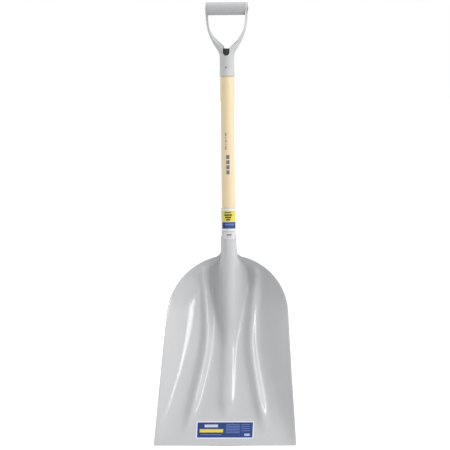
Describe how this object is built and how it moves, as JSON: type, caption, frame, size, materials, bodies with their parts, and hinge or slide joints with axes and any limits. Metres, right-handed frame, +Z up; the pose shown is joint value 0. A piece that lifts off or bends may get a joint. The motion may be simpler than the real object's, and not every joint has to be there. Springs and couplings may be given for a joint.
{
  "type": "grain scoop shovel",
  "caption": "Wide moulded scoop with ribbed floor on a round wooden shaft, with a pressed steel D grip for lifting and throwing loose grain.",
  "frame": {"origin": "middle of the scoop's front edge, on the narrow face that it stands on", "axes": "+Z runs up the shaft from the front edge to the grip, the hollow of the scoop faces -Y, and +X is to the right when looking into the hollow"},
  "size_m": [0.395, 0.1794, 1.22],
  "materials": {
    "scoop_plastic": "glossy, light grey, with fine scratches",
    "shaft_wood": "pale ash, sanded and clear lacquered",
    "yoke_paint": "smooth light grey enamel",
    "grip_plastic": "satin, light grey",
    "rivet_steel": "plain zinc plated",
    "label_blue": "printed and coated, smooth",
    "label_yellow": "printed and coated, smooth",
    "label_white": "coated, smooth"
  },
  "bodies": {
    "root": {"scoop": "scoop_plastic", "shaft": "shaft_wood", "grip_yoke": "yoke_paint", "grip_sleeve": "grip_plastic", "grip_rivet": "rivet_steel", "grip_rivet_burr": "rivet_steel", "ferrule_rivet": "rivet_steel", "ferrule_rivet_burr": "rivet_steel", "socket_screw": "rivet_steel", "socket_screw_washer": "rivet_steel", "scoop_label": "label_blue", "socket_label": "label_yellow", "code_label": "label_white"}
  },
  "joints": []
}
